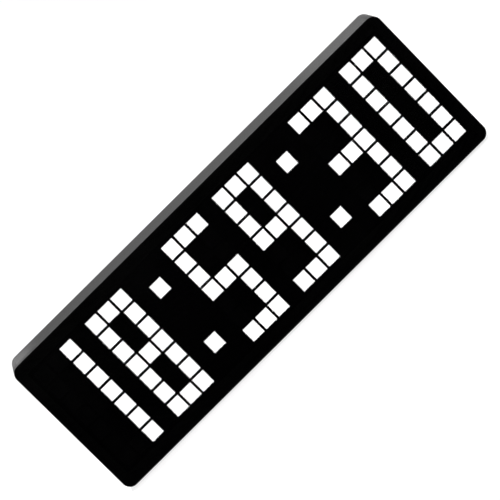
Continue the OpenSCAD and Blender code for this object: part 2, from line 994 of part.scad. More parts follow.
module socket_holes() {
    slab(pocket_floor, back_y + cut)
        at_slide()
            pill(slide_pocket_w, slide_pocket_h);
    slab(cover_in - cut, pocket_floor + cut)
        at_slide()
            square([slot_w, slot_h], center = true);
    slab(plug_floor, back_y + cut)
        at_usb()
            pill(usb_pocket_w, usb_pocket_h);
    slab(cover_in - cut, plug_floor + cut)
        at_usb()
            pill(usb_w + 2 * usb_fit, usb_h + 2 * usb_fit);
}

module sound_holes() {
    slab(cover_in - cut, back_y + cut)
        at_buzzer() {
            circle(d = grille_d);
            for (i = [0:grille_n - 1])
                rotate(i * 360 / grille_n)
                    translate([grille_r, 0])
                        circle(d = grille_d);
        }
}

module rear_cover() {
    color(grey)
        difference() {
            cover_plate();
            screw_holes();
            button_holes();
            socket_holes();
            sound_holes();
        }
}

module cover_screws() {
    color(steel) {
        slab(head_seat, head_seat + screw_head_h)
            at_four(boss_x, boss_z)
                circle(d = screw_head_d);
        slab(head_seat - cover_screw_l, head_seat)
            at_four(boss_x, boss_z)
                circle(d = screw_d);
    }
}

module controller_board() {
    color(green)
        slab(controller_front, controller_rear)
            difference() {
                rounded(controller_w, controller_h, controller_r);
                at_four(board_hole_x, board_hole_z)
                    circle(d = board_screw_d + 2 * free_fit);
            }
}

module controller_chip() {
    color(black)
        translate([0, controller_front, face_z + board_top - mcu_z])
            mirror([0, 1, 0])
                chip(mcu_w, mcu_w, mcu_t, mcu_leads, 4);
}

module crystal() {
    color(silver)
        slab(controller_front - crystal_t, controller_front)
            translate([0, crystal_z - board_top])
                pill(crystal_w, crystal_h);
}

module board_screws() {
    color(steel) {
        slab(controller_front - board_head_h, controller_front)
            at_four(board_hole_x, board_hole_z)
                circle(d = board_head_d);
        slab(controller_front, controller_front + board_screw_l)
            at_four(board_hole_x, board_hole_z)
                circle(d = board_screw_d);
    }
}

module usb_socket() {
    color(silver) {
        difference() {
            slab(controller_rear, plug_floor)
                at_usb()
                    pill(usb_w, usb_h);
            slab(controller_rear + usb_floor, plug_floor + cut)
                at_usb()
                    pill(usb_w - 2 * usb_wall, usb_h - 2 * usb_wall);
        }
        slab(controller_rear + usb_floor - cut, plug_floor - tongue_sink)
            at_usb()
                square([tongue_w, tongue_t], center = true);
    }
}

module buzzer() {
    color(black)
        difference() {
            slab(controller_rear, buzzer_top)
                at_buzzer()
                    circle(d = buzzer_d);
            slab(buzzer_top - buzzer_hole_l, buzzer_top + cut)
                at_buzzer()
                    circle(d = buzzer_hole_d);
        }
}

module buzzer_gasket() {
    color(black)
        slab(buzzer_top, cover_in)
            at_buzzer()
                difference() {
                    circle(d = gasket_d);
                    circle(d = gasket_d - 2 * gasket_w);
                }
}

module power_switch() {
    color(silver)
        difference() {
            slab(controller_rear, slide_top)
                at_slide()
                    square([slide_w, slide_h], center = true);
            slab(slide_top - lever_seat - lever_fit, slide_top + cut)
                at_slide()
                    square([slot_w, slot_h], center = true);
        }
}

module power_lever() {
    lever_tip = back_y - lever_sink;
    color(black)
        difference() {
            slab(slide_top - lever_seat, lever_tip)
                at_slide()
                    translate([slide_travel / 2, 0])
                        square([lever_w, lever_h], center = true);
            slab(lever_tip - groove_d, lever_tip + cut)
                at_slide()
                    translate([slide_travel / 2, 0])
                        square([groove_w, lever_h + cut], center = true);
        }
}

module button(i) {
    flange = 2 * button_flange;
    cap_depth = button_top - button_base;
    color(black)
        difference() {
            union() {
                slab(button_base, button_base + button_flange_t)
                    at_button(i)
                        pill(button_w(i) + flange, button_d + flange);
                translate([button_x(i), button_base, face_z + button_row])
                    edge_block(button_w(i), button_d, button_d / 2, cap_depth, button_edge_r);
            }
            translate([button_x(i), button_top + dish_r - dish_d, face_z + button_row])
                sphere(dish_r);
        }
}

module plunger(i) {
    color(black)
        slab(plunger_foot, plunger_top)
            at_button(i)
                circle(d = plunger_d);
}

module button_switch(i) {
    color(silver)
        difference() {
            union() {
                slab(controller_rear, controller_rear + tact_h)
                    at_button(i)
                        square(tact_w, center = true);
                slab(controller_rear, controller_rear + terminal_t)
                    at_button(i)
                        for (level = [-1, 1])
                            translate([0, level * (tact_w / 2 - terminal_w)])
                                square([tact_w + 2 * terminal_reach, terminal_w], center = true);
            }
            slab(plunger_foot - press_travel - plunger_fit, controller_rear + tact_h + cut)
                at_button(i)
                    circle(d = plunger_d + 2 * plunger_fit);
        }
}

module battery() {
    strip_h = battery_h - 2 * strip_edge;
    color(silver) {
        translate([battery_x - strip_w / 2, battery_mid, face_z])
            rotate([0, -90, 0])
                linear_extrude(battery_w - strip_w, center = true)
                    rounded(battery_h, battery_t, battery_r);
        translate([battery_end - strip_w - cut, battery_mid - strip_t / 2, face_z - strip_h / 2])
            cube([strip_w + cut, strip_t, strip_h]);
    }
}

module battery_pad() {
    color(black)
        slab(battery_y, cover_in)
            translate([battery_x - strip_w / 2, 0])
                square([battery_w - strip_w - strip_edge, battery_h - 2 * strip_edge], center = true);
}

module wire() {
    points = [for (i = [0:wire_steps]) each wire_ring(i / wire_steps)];
    last_ring = wire_steps * wire_sides;
    sides = [
        for (i = [0:wire_steps - 1])
            for (j = [0:wire_sides - 1])
                let (
                    a = i * wire_sides + j,
                    b = i * wire_sides + (j + 1) % wire_sides
                )
                    each [[a, b, b + wire_sides], [a, b + wire_sides, a + wire_sides]]
    ];
    start_cap = [for (j = [wire_sides - 1:-1:0]) j];
    end_cap = [for (j = [0:wire_sides - 1]) last_ring + j];
    polyhedron(points, concat(sides, [start_cap, end_cap]));
}

module battery_lead() {
    color(red)
        for (side = [-1, 1])
            translate([0, 0, face_z + side * wire_pitch / 2])
                wire();
}

module battery_plug() {
    h = jack_bore_h - 2 * plug_fit;
    t = jack_bore_t - 2 * plug_fit;
    color(white)
        translate([plug_end, jack_mid - t / 2, face_z - h / 2])
            cube([jack_floor - plug_end, t, h]);
}

module battery_jack() {
    color(white)
        difference() {
            translate([jack_x, controller_rear, face_z - jack_h / 2])
                cube([jack_w, jack_t, jack_h]);
            translate([jack_x - cut, jack_mid - jack_bore_t / 2, face_z - jack_bore_h / 2])
                cube([jack_floor - jack_x + cut, jack_bore_t, jack_bore_h]);
        }
}

front_lens();
lens_tape();
mask_film();
reflector();
for (d = [0:digits - 1])
    digit_cells(d);
for (k = [0:pairs - 2])
    colon_cells(k);
display_board();
display_leds();
driver_chips();
link_socket();
display_screws();
housing();
rear_cover();
cover_screws();
for (end = foot_ends) {
    foot(end[1] * foot_x, foot_front);
    foot(end[1] * foot_x, foot_rear);
}
controller_board();
controller_chip();
crystal();
link_header();
board_screws();
usb_socket();
buzzer();
buzzer_gasket();
power_switch();
power_lever();
for (i = [0:last_button]) {
    button(i);
    plunger(i);
    button_switch(i);
}
battery();
battery_pad();
battery_lead();
battery_plug();
battery_jack();
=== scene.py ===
"""Looks of a free-standing countdown timer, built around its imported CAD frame.

Everything is in metres, with +Z up and the face towards -Y.
"""

import math

import bmesh
import bpy
from mathutils import Matrix, Vector


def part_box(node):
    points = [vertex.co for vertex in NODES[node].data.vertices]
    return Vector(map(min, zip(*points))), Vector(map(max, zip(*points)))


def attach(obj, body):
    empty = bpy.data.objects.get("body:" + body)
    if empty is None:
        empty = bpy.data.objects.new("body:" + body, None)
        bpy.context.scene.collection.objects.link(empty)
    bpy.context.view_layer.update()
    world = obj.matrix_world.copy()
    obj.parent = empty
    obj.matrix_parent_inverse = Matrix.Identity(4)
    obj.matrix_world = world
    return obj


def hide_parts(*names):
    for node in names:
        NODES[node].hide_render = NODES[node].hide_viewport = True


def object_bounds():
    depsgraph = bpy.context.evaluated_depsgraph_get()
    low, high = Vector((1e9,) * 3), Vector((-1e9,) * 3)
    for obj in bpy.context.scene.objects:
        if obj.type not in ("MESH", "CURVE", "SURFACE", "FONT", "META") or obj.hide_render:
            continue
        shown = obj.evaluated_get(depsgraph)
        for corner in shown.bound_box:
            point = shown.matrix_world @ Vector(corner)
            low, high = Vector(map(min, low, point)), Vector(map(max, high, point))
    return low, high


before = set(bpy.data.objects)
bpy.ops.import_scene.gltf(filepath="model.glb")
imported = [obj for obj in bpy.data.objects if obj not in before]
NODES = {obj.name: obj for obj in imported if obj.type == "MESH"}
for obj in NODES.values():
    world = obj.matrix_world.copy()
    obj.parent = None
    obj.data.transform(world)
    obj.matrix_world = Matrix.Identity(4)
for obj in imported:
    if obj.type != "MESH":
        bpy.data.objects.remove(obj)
cad_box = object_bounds()
MM = 0.001

# What the display shows, and the bars that make each digit
SHOWN = "185930"
BARS = {
    "0": "abcdef",
    "1": "bc",
    "2": "abged",
    "3": "abgcd",
    "4": "fgbc",
    "5": "afgcd",
    "6": "afgedc",
    "7": "abc",
    "8": "abcdefg",
    "9": "abcdfg",
}
COLS, ROWS, MID_ROW = 3, 7, 3

# Names of the CAD nodes that come in sets
DIGIT_NODES = [
    "hour_tens_cells",
    "hour_units_cells",
    "minute_tens_cells",
    "minute_units_cells",
    "second_tens_cells",
    "second_units_cells",
]
COLON_NODES = ["colon_1_cells", "colon_2_cells"]
BUTTONS = ["hour", "minute", "second", "reset", "start"]
FEET = ["foot_front_left", "foot_rear_left", "foot_front_right", "foot_rear_right"]

# Sizes of the small parts, as in the CAD source
PITCH_X, PITCH_Z = 6.4 * MM, 7.0 * MM
LED_CUP_R, LED_TALL = 1.25 * MM, 1.9 * MM
DRIVER_HALF, MCU_HALF = 3.8 * MM, 3.55 * MM
SWITCH_HALF = 3.05 * MM
HEADER_BASE = 2.05 * MM
TONGUE_HALF_W, TONGUE_HALF_T, TONGUE_SINK = 3.4 * MM, 0.4 * MM, 0.8 * MM
SOCKET_FLOOR = 1.2 * MM
BATTERY_WIDE = 40.0 * MM

# Shader nodes: the range that most of a noise lies in, and how many layers of detail it has
NOISE_LOW, NOISE_HIGH = 0.3, 0.7
COLOR_DETAIL, ROUGH_DETAIL, FOIL_DETAIL = 3.0, 4.0, 5.0


def add(tree, kind, props=None, **inputs):
    """A new shader node. Inputs go by socket name, with _ for a space, and take an output or a value."""
    node = tree.nodes.new("ShaderNode" + kind)
    for name, value in (props or {}).items():
        setattr(node, name, value)
    for name, value in inputs.items():
        feed(tree, node.inputs[name.replace("_", " ")], value)
    return node


def feed(tree, socket, value):
    """Links an output to a socket, or sets the socket's own value."""
    if isinstance(value, bpy.types.NodeSocket):
        tree.links.new(value, socket)
    else:
        socket.default_value = value


def combine(tree, operation, first, second):
    """Two numbers put through a maths node."""
    node = add(tree, "Math", {"operation": operation})
    feed(tree, node.inputs[0], first)
    feed(tree, node.inputs[1], second)
    return node.outputs["Value"]


def place(tree, stretch=None):
    """The point of the surface in metres, stretched along the axes where the grain runs one way."""
    point = add(tree, "TexCoord").outputs["Object"]
    if stretch:
        point = add(tree, "Mapping", Vector=point, Scale=stretch).outputs["Vector"]
    return point


def noise(tree, per_metre, detail=COLOR_DETAIL, stretch=None):
    """Random patches, 0 to 1, so many to the metre."""
    node = add(tree, "TexNoise", Vector=place(tree, stretch), Scale=per_metre, Detail=detail)
    return node.outputs["Fac"]


def spread(tree, factor, low, high, start=NOISE_LOW, end=NOISE_HIGH):
    """A number that goes from low to high as the factor goes from start to end."""
    node = add(tree, "MapRange", Value=factor)
    for name, value in (("From Min", start), ("From Max", end), ("To Min", low), ("To Max", high)):
        node.inputs[name].default_value = value
    return node.outputs["Result"]


def tint(tree, factor, low, high, start=NOISE_LOW, end=NOISE_HIGH):
    """A colour that goes from low to high as the factor goes from start to end."""
    ramp = add(tree, "ValToRGB", Fac=factor)
    for stop, position, color in zip(ramp.color_ramp.elements, (start, end), (low, high)):
        stop.position = position
        stop.color = (*color, 1.0)
    return ramp.outputs["Color"]


def bump(tree, height, depth, strength=1.0, normal=None):
    """A normal bent by a height of so many metres."""
    node = add(tree, "Bump", Height=height, Distance=depth, Strength=strength)
    if normal:
        feed(tree, node.inputs["Normal"], normal)
    return node.outputs["Normal"]


# How far a rounded normal leans on a full edge and on an open face, as a cosine
EDGE_LEAN, FACE_LEAN = 0.82, 0.99
EDGE_SAMPLES = 6


def edges(tree, radius):
    """1 on edges and 0 on open faces, from how far a rounded normal leans."""
    soft = add(tree, "Bevel", {"samples": EDGE_SAMPLES}, Radius=radius).outputs["Normal"]
    flat = add(tree, "NewGeometry").outputs["Normal"]
    lean = add(tree, "VectorMath", {"operation": "DOT_PRODUCT"})
    feed(tree, lean.inputs[0], soft)
    feed(tree, lean.inputs[1], flat)
    return spread(tree, lean.outputs["Value"], 1.0, 0.0, EDGE_LEAN, FACE_LEAN)


# Materials, each of one shader
def surface(name, color, rough, normal=None, **plain):
    """A material. color, rough and normal are functions of the node tree, the rest plain values."""
    made = bpy.data.materials.new(name)
    made.use_nodes = True
    tree = made.node_tree
    shader = tree.nodes["Principled BSDF"]
    feed(tree, shader.inputs["Base Color"], color(tree))
    feed(tree, shader.inputs["Roughness"], rough(tree))
    if normal:
        feed(tree, shader.inputs["Normal"], normal(tree))
    for socket, value in plain.items():
        shader.inputs[socket.replace("_", " ")].default_value = value
    return made


def patchy(low, high, per_metre, stretch=None):
    """Colour that drifts between two tones."""
    return lambda tree: tint(tree, noise(tree, per_metre, stretch=stretch), low, high)


def uneven(low, high, per_metre, stretch=None):
    """Roughness that drifts between two values."""
    return lambda tree: spread(tree, noise(tree, per_metre, ROUGH_DETAIL, stretch), low, high)


def grainy(per_metre, depth, strength=1.0, stretch=None):
    """Fine grain, so many bumps to the metre and so many metres deep."""
    return lambda tree: bump(tree, noise(tree, per_metre, stretch=stretch), depth, strength)


# Wear and a painted highlight along edges come in patches, so many to the metre, of a least and a
# greatest share
EDGE_PATCHES_PER_METRE, EDGE_PATCH_LEAST, EDGE_PATCH_MOST = 160.0, 0.1, 0.7
# Places of the colour sockets on a mix node, which share their names with those for numbers
MIX_FIRST, MIX_SECOND, MIX_RESULT = 6, 7, 2


def edge_wear_and_highlight(low, high, edge, per_metre, radius):
    """Drifting colour that pales along the edges, as wear where hands rub it and as a painted highlight
    on the edges.
    """

    def color(tree):
        base = tint(tree, noise(tree, per_metre), low, high)
        patches = spread(tree, noise(tree, EDGE_PATCHES_PER_METRE), EDGE_PATCH_LEAST, EDGE_PATCH_MOST)
        mix = add(tree, "Mix", {"data_type": "RGBA"})
        feed(tree, mix.inputs["Factor"], combine(tree, "MULTIPLY", edges(tree, radius), patches))
        feed(tree, mix.inputs[MIX_FIRST], base)
        feed(tree, mix.inputs[MIX_SECOND], (*edge, 1.0))
        return mix.outputs[MIX_RESULT]

    return color


def moulded(tree):
    """Grain of a moulded case: shallow waves under a fine spark-eroded texture."""
    fine = grainy(4200, 0.04 * MM, 0.55)(tree)
    return bump(tree, noise(tree, 1100), 0.09 * MM, 0.5, fine)


def wrinkled(tree):
    """Foil pressed round a cell: broad creases with fine ones across them."""
    broad = add(tree, "TexVoronoi", {"feature": "SMOOTH_F1"}, Vector=place(tree), Scale=170.0)
    first = bump(tree, broad.outputs["Distance"], 0.12 * MM, 0.5)
    return bump(tree, noise(tree, 900, FOIL_DETAIL), 0.04 * MM, 0.6, first)


# Copper on the boards: straight runs on lanes, broken off where a noise is low, and round pads
TRACK_PITCH, TRACK_WIDTH, TRACK_LENGTH = 1.27 * MM, 0.45 * MM, 9.0 * MM
TRACK_RIM, TRACK_BREAK, TRACK_RESUME = 0.1, 0.50, 0.505
LANE_SHIFT, LINK_SHIFT = 0.37, 7.0
PADS_PER_METRE, PAD_SHARE, PAD_RIM = 260.0, 0.13, 1.2


def track_runs(tree, along, across, pitch, shift):
    """1 on straight runs of copper along one direction, each broken off at random places."""
    lane = combine(tree, "FLOOR", combine(tree, "DIVIDE", across, pitch), 0.0)
    aside = combine(tree, "PINGPONG", across, pitch / 2)
    edge = (pitch - TRACK_WIDTH) / 2
    rim = TRACK_RIM * TRACK_WIDTH
    on_lane = spread(tree, aside, 0.0, 1.0, edge - rim, edge + rim)
    lane_shift = combine(tree, "MULTIPLY", lane, LANE_SHIFT)
    spot = add(tree, "CombineXYZ", X=along, Y=lane_shift, Z=shift).outputs["Vector"]
    patch = add(tree, "TexNoise", Vector=spot, Scale=1.0 / TRACK_LENGTH, Detail=0.0).outputs["Fac"]
    whole = spread(tree, patch, 0.0, 1.0, TRACK_BREAK, TRACK_RESUME)
    return combine(tree, "MULTIPLY", on_lane, whole)


def tracks(tree):
    """Copper under a board's lacquer, 0 to 1: runs along the board, links across it and round pads."""
    axes = add(tree, "SeparateXYZ", Vector=place(tree))
    x, z = axes.outputs["X"], axes.outputs["Z"]
    runs = track_runs(tree, x, z, TRACK_PITCH, 0.0)
    links = track_runs(tree, z, x, 2 * TRACK_PITCH, LINK_SHIFT)
    flat = add(tree, "CombineXYZ", X=x, Y=z).outputs["Vector"]
    pads = add(tree, "TexVoronoi", {"voronoi_dimensions": "2D"}, Vector=flat, Scale=PADS_PER_METRE)
    dots = spread(tree, pads.outputs["Distance"], 1.0, 0.0, PAD_SHARE, PAD_RIM * PAD_SHARE)
    return combine(tree, "MAXIMUM", combine(tree, "MAXIMUM", runs, links), dots)


def copper_green(tree):
    """Green lacquer, paler over the copper."""
    return tint(tree, tracks(tree), (0.010, 0.085, 0.035), (0.020, 0.150, 0.060), 0.1, 0.9)


def copper_relief(tree):
    """Lacquer that rises a little over the copper."""
    return bump(tree, tracks(tree), 0.03 * MM, 0.6, grainy(1800, 0.01 * MM, 0.3)(tree))


# The case's paler edge colour is partly wear and partly a painted highlight along its edges.
CASE = surface(
    "case_plastic",
    edge_wear_and_highlight((0.029, 0.0285, 0.029), (0.043, 0.0425, 0.043), (0.080, 0.079, 0.080), 1700, 0.4 * MM),
    uneven(0.56, 0.66, 2400),
    moulded,
    Specular_IOR_Level=0.09,
)
LENS = surface(
    "smoked_acrylic",
    patchy((0.0002, 0.0002, 0.0003), (0.0005, 0.0005, 0.0006), 60),
    uneven(0.06, 0.10, 45),
    Alpha=0.80,
    Specular_IOR_Level=0.5,
)
LENS_RIM = surface(
    "milled_acrylic",
    patchy((0.0004, 0.0004, 0.0005), (0.0010, 0.0010, 0.0011), 900),
    uneven(0.30, 0.45, 1600),
    grainy(5200, 0.01 * MM, 0.3),
    Alpha=0.80,
    Specular_IOR_Level=0.12,
)
FILM = surface(
    "black_film",
    patchy((0.0015, 0.0015, 0.0015), (0.0030, 0.0030, 0.0030), 300),
    uneven(0.55, 0.75, 900),
    grainy(5000, 0.01 * MM, 0.3),
    Specular_IOR_Level=0.05,
)
FOAM = surface(
    "closed_cell_foam",
    patchy((0.012, 0.012, 0.012), (0.030, 0.030, 0.030), 2200),
    uneven(0.80, 0.95, 1500),
    grainy(2600, 0.12 * MM, 0.9),
)
LIT = surface(
    "lit_diffuser",
    patchy((0.90, 0.90, 0.90), (0.95, 0.95, 0.95), 700),
    uneven(0.45, 0.60, 900),
    grainy(3000, 0.02 * MM, 0.3),
    Emission_Color=(1.0, 1.0, 1.0, 1.0),
    Emission_Strength=26.0,
)
UNLIT = surface(
    "unlit_diffuser",
    patchy((0.13, 0.13, 0.13), (0.17, 0.17, 0.17), 700),
    uneven(0.45, 0.60, 900),
    grainy(3000, 0.02 * MM, 0.3),
)
WHITE = surface(
    "white_plastic",
    patchy((0.76, 0.76, 0.74), (0.84, 0.84, 0.82), 240),
    uneven(0.38, 0.55, 600),
    grainy(2800, 0.02 * MM, 0.35),
)
PHOSPHOR = surface(
    "phosphor_gel",
    patchy((0.80, 0.62, 0.12), (0.90, 0.74, 0.22), 3000),
    uneven(0.20, 0.35, 2500),
    grainy(4000, 0.01 * MM, 0.4),
)
BOARD = surface(
    "lacquered_board",
    copper_green,
    uneven(0.28, 0.42, 500),
    copper_relief,
    Coat_Weight=0.25,
    Coat_Roughness=0.2,
)
CHIP = surface(
    "moulded_resin",
    patchy((0.016, 0.016, 0.017), (0.028, 0.028, 0.029), 1400),
    uneven(0.55, 0.72, 1100),
    grainy(5200, 0.03 * MM, 0.5),
)
CERAMIC = surface(
    "fired_ceramic",
    patchy((0.36, 0.25, 0.14), (0.46, 0.33, 0.20), 1600),
    uneven(0.45, 0.60, 1400),
    grainy(4600, 0.01 * MM, 0.4),
)
TIN = surface(
    "tinned_leads",
    patchy((0.62, 0.62, 0.60), (0.76, 0.76, 0.74), 1800),
    uneven(0.25, 0.42, 2400),
    grainy(2600, 0.01 * MM, 0.5),
    Metallic=1.0,
)
SCREW = surface(
    "black_plated_steel",
    patchy((0.055, 0.055, 0.060), (0.105, 0.105, 0.112), 1500),
    uneven(0.28, 0.46, 2600),
    grainy(4200, 0.01 * MM, 0.6),
    Metallic=1.0,
)
STEEL = surface(
    "drawn_sheet_metal",
    patchy((0.52, 0.52, 0.53), (0.66, 0.66, 0.67), 900, (1, 1, 6)),
    uneven(0.24, 0.40, 1600, (1, 1, 8)),
    grainy(2400, 0.01 * MM, 0.5, (1, 1, 10)),
    Metallic=1.0,
)
GOLD = surface(
    "gold_contacts",
    patchy((0.78, 0.54, 0.20), (0.88, 0.64, 0.28), 2600),
    uneven(0.18, 0.32, 3000),
    grainy(4000, 0.01 * MM, 0.4),
    Metallic=1.0,
)
# The buttons' pale edge colour is a painted highlight on the rims of the caps.
BUTTON = surface(
    "satin_plastic",
    edge_wear_and_highlight((0.006, 0.006, 0.0062), (0.009, 0.009, 0.0092), (0.18, 0.18, 0.182), 1700, 0.6 * MM),
    uneven(0.30, 0.40, 1600),
    grainy(5200, 0.02 * MM, 0.3),
    Specular_IOR_Level=0.15,
)
POUCH = surface(
    "laminated_foil",
    patchy((0.60, 0.60, 0.60), (0.72, 0.72, 0.71), 220),
    uneven(0.26, 0.44, 500),
    wrinkled,
    Metallic=0.9,
)
AMBER = surface(
    "amber_tape",
    patchy((0.55, 0.24, 0.02), (0.68, 0.33, 0.04), 500),
    uneven(0.22, 0.36, 700),
    grainy(900, 0.03 * MM, 0.5),
)
WIRE_RED = surface(
    "red_sleeve",
    patchy((0.42, 0.018, 0.014), (0.52, 0.030, 0.022), 700),
    uneven(0.36, 0.50, 900),
    grainy(1500, 0.03 * MM, 0.4),
)
WIRE_BLACK = surface(
    "black_sleeve",
    patchy((0.014, 0.014, 0.014), (0.026, 0.026, 0.026), 700),
    uneven(0.36, 0.50, 900),
    grainy(1500, 0.03 * MM, 0.4),
)
RUBBER = surface(
    "matte_rubber",
    patchy((0.014, 0.014, 0.014), (0.026, 0.026, 0.026), 900),
    uneven(0.74, 0.90, 1200),
    grainy(2600, 0.06 * MM, 0.7),
)


# Materials on whole CAD nodes
def coat(names, material):
    """Gives whole nodes one material."""
    for name in names:
        mesh = NODES[name].data
        mesh.materials.clear()
        mesh.materials.append(material)
        for face in mesh.polygons:
            face.material_index = 0


coat(["front_lens"], LENS)
coat(["mask_film"], FILM)
coat(["lens_tape", "buzzer_gasket", "battery_pad"], FOAM)
coat(["housing", "rear_cover"], CASE)
coat(["reflector", "display_leds", "battery_plug", "battery_jack"], WHITE)
coat(["display_board", "controller_board"], BOARD)
coat(["driver_chips", "controller_chip", "link_socket", "link_header", "buzzer"], CHIP)
coat(["crystal", "usb_socket", "power_switch"], STEEL)
coat(["display_screws", "board_screws", "cover_screws"], SCREW)
coat(["battery"], POUCH)
coat(["battery_lead"], WIRE_RED)
coat(["power_lever"], BUTTON)
coat(FEET, RUBBER)
coat([f"{name}_button" for name in BUTTONS], BUTTON)
coat([f"{name}_plunger" for name in BUTTONS], CHIP)
coat([f"{name}_switch" for name in BUTTONS], STEEL)
coat(DIGIT_NODES, UNLIT)
coat(COLON_NODES, LIT)


# Materials on some faces of a CAD node
def paint(name, material, test):
    """Gives a node's faces another material where the test holds for the face's middle and its normal."""
    mesh = NODES[name].data
    mesh.materials.append(material)
    for face in mesh.polygons:
        if test(face.center, face.normal):
            face.material_index = len(mesh.materials) - 1


def middle(name):
    """Middle of a node's box."""
    low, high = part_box(name)
    return (low + high) / 2


def off(point, centre):
    """How far a point lies from a middle, along each axis without sign."""
    return Vector([abs(a - b) for a, b in zip(point, centre)])


def grid_off(value, centre, pitch):
    """How far a value lies from the nearest line of a grid."""
    return abs((value - centre + pitch / 2) % pitch - pitch / 2)


# Shares of a normal along the part's depth: on the lens's flat sides, and on a switch's lid
LENS_FLAT, LID_FLAT = 0.999, 0.5
paint("front_lens", LENS_RIM, lambda point, normal: abs(normal.y) < LENS_FLAT)


def bars_at(col, row):
    """The bars that pass a digit's cell, counted from the top left."""
    found = set()
    if col == 0:
        found |= {"f"} if row <= MID_ROW else set()
        found |= {"e"} if row >= MID_ROW else set()
    if col == COLS - 1:
        found |= {"b"} if row <= MID_ROW else set()
        found |= {"c"} if row >= MID_ROW else set()
    found |= {0: {"a"}, MID_ROW: {"g"}, ROWS - 1: {"d"}}.get(row, set())
    return found


def light_digit(name, digit):
    """Lights the cells of one digit."""
    low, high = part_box(name)
    wide, tall = (high.x - low.x) / COLS, (high.z - low.z) / ROWS

    def is_lit(point, _):
        col = min(COLS - 1, int((point.x - low.x) / wide))
        row = min(ROWS - 1, int((high.z - point.z) / tall))
        return bool(bars_at(col, row) & set(BARS[digit]))

    paint(name, LIT, is_lit)


for node_name, shown_digit in zip(DIGIT_NODES, SHOWN):
    light_digit(node_name, shown_digit)

lead_mid = middle("battery_lead")
paint("battery_lead", WIRE_BLACK, lambda point, _: point.z < lead_mid.z)

led_low, led_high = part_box("display_leds")
led_mid = (led_low + led_high) / 2
LED_SKIN = 0.05 * LED_TALL


def in_led_cup(point, _):
    """True inside a light-emitting chip's cup."""
    aside = grid_off(point.x, led_mid.x, PITCH_X)
    above = grid_off(point.z, led_mid.z, PITCH_Z)
    deep = led_low.y + LED_SKIN < point.y < led_high.y - LED_SKIN
    return deep and math.hypot(aside, above) < LED_CUP_R


paint("display_leds", PHOSPHOR, in_led_cup)

driver_mid = middle("driver_chips")
paint("driver_chips", TIN, lambda point, _: abs(point.z - driver_mid.z) > DRIVER_HALF)

mcu_mid = middle("controller_chip")


def on_mcu_lead(point, _):
    """True on the leads round the controller chip."""
    aside = off(point, mcu_mid)
    return max(aside.x, aside.z) > MCU_HALF


paint("controller_chip", TIN, on_mcu_lead)

header_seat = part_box("link_header")[1].y
paint("link_header", GOLD, lambda point, _: point.y < header_seat - HEADER_BASE)

for button_name in BUTTONS:
    switch_mid = middle(f"{button_name}_switch")
    paint(f"{button_name}_switch", CHIP, lambda point, normal: abs(normal.y) < LID_FLAT)
    paint(f"{button_name}_switch", TIN, lambda point, normal: off(point, switch_mid).x > SWITCH_HALF)

battery_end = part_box("battery")[0].x + BATTERY_WIDE
paint("battery", AMBER, lambda point, _: point.x > battery_end)

usb_low, usb_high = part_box("usb_socket")
usb_mid = (usb_low + usb_high) / 2
SOCKET_SLACK = 0.1 * SOCKET_FLOOR


def in_socket_plastic(point, _):
    """True on the tongue and the floor inside the charging socket."""
    aside = off(point, usb_mid)
    on_tongue = aside.x < TONGUE_HALF_W and aside.z < TONGUE_HALF_T
    above_floor = point.y - usb_low.y - SOCKET_FLOOR
    return above_floor > -SOCKET_SLACK and (on_tongue or above_floor < SOCKET_SLACK)


paint("usb_socket", CHIP, in_socket_plastic)

# Rounded edges on the case's moulded pieces
WELD_REACH, ROUND_SEGMENTS, ROUND_ANGLE = 0.002 * MM, 2, math.radians(50)


def round_edges(name, width):
    """Softens a node's sharp edges, so that they catch the light."""
    piece = NODES[name]
    weld = piece.modifiers.new("join", "WELD")
    weld.merge_threshold = WELD_REACH
    bevel = piece.modifiers.new("round", "BEVEL")
    bevel.width = width
    bevel.segments = ROUND_SEGMENTS
    bevel.limit_method = "ANGLE"
    bevel.angle_limit = ROUND_ANGLE
    bevel.use_clamp_overlap = True
    bevel.harden_normals = True


round_edges("housing", 0.10 * MM)
round_edges("rear_cover", 0.12 * MM)
round_edges("power_lever", 0.08 * MM)

# Pieces made here
SMOOTH_ANGLE = math.radians(32)


def keep(name, mesh, material, body):
    """A finished mesh as a piece that rides on a body."""
    piece = bpy.data.objects.new(name, mesh)
    bpy.context.scene.collection.objects.link(piece)
    mesh.materials.clear()
    mesh.materials.append(material)
    mesh.shade_smooth()
    mesh.set_sharp_from_angle(angle=SMOOTH_ANGLE)
    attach(piece, body)
    return piece


def mesh_of(name, build):
    """A mesh made by a function that fills a bmesh."""
    work = bmesh.new()
    build(work)
    bmesh.ops.recalc_face_normals(work, faces=work.faces)
    mesh = bpy.data.meshes.new(name)
    work.to_mesh(mesh)
    work.free()
    return mesh


def skin_rings(work, rings):
    """Faces between rings of points, all with the same count, and a cap on both ends."""
    made = [[work.verts.new(point) for point in ring] for ring in rings]
    sides = len(made[0])
    for low, high in zip(made, made[1:]):
        for j in range(sides):
            k = (j + 1) % sides
            work.faces.new((low[j], low[k], high[k], high[j]))
    work.faces.new(reversed(made[0]))
    work.faces.new(made[-1])


def mesh_of_rings(name, solids):
    """A mesh of several solids, each skinned over its own rings."""

    def build(work):
        for rings in solids:
            skin_rings(work, rings)

    return mesh_of(name, build)


def keep_rings(name, solids, material):
    """Several solids, each skinned over its own rings, as one piece that rides on the base."""
    return keep(name, mesh_of_rings(name, solids), material, "base")


def cut_away(mesh, cutters):
    """The mesh with the cutters' meshes taken out of it."""
    scene = bpy.context.scene
    target = bpy.data.objects.new("cut_target", mesh)
    scene.collection.objects.link(target)
    helpers = [bpy.data.objects.new(f"cutter_{i}", cutter) for i, cutter in enumerate(cutters)]
    for helper in helpers:
        scene.collection.objects.link(helper)
        cut = target.modifiers.new(helper.name, "BOOLEAN")
        cut.operation = "DIFFERENCE"
        cut.solver = "EXACT"
        cut.object = helper
    ready = target.evaluated_get(bpy.context.evaluated_depsgraph_get())
    result = bpy.data.meshes.new_from_object(ready)
    for helper in [target, *helpers]:
        bpy.data.objects.remove(helper)
    return result


def in_row(i, count, step):
    """Place of the i-th of so many things in a row about its middle."""
    return (i - (count - 1) / 2) * step


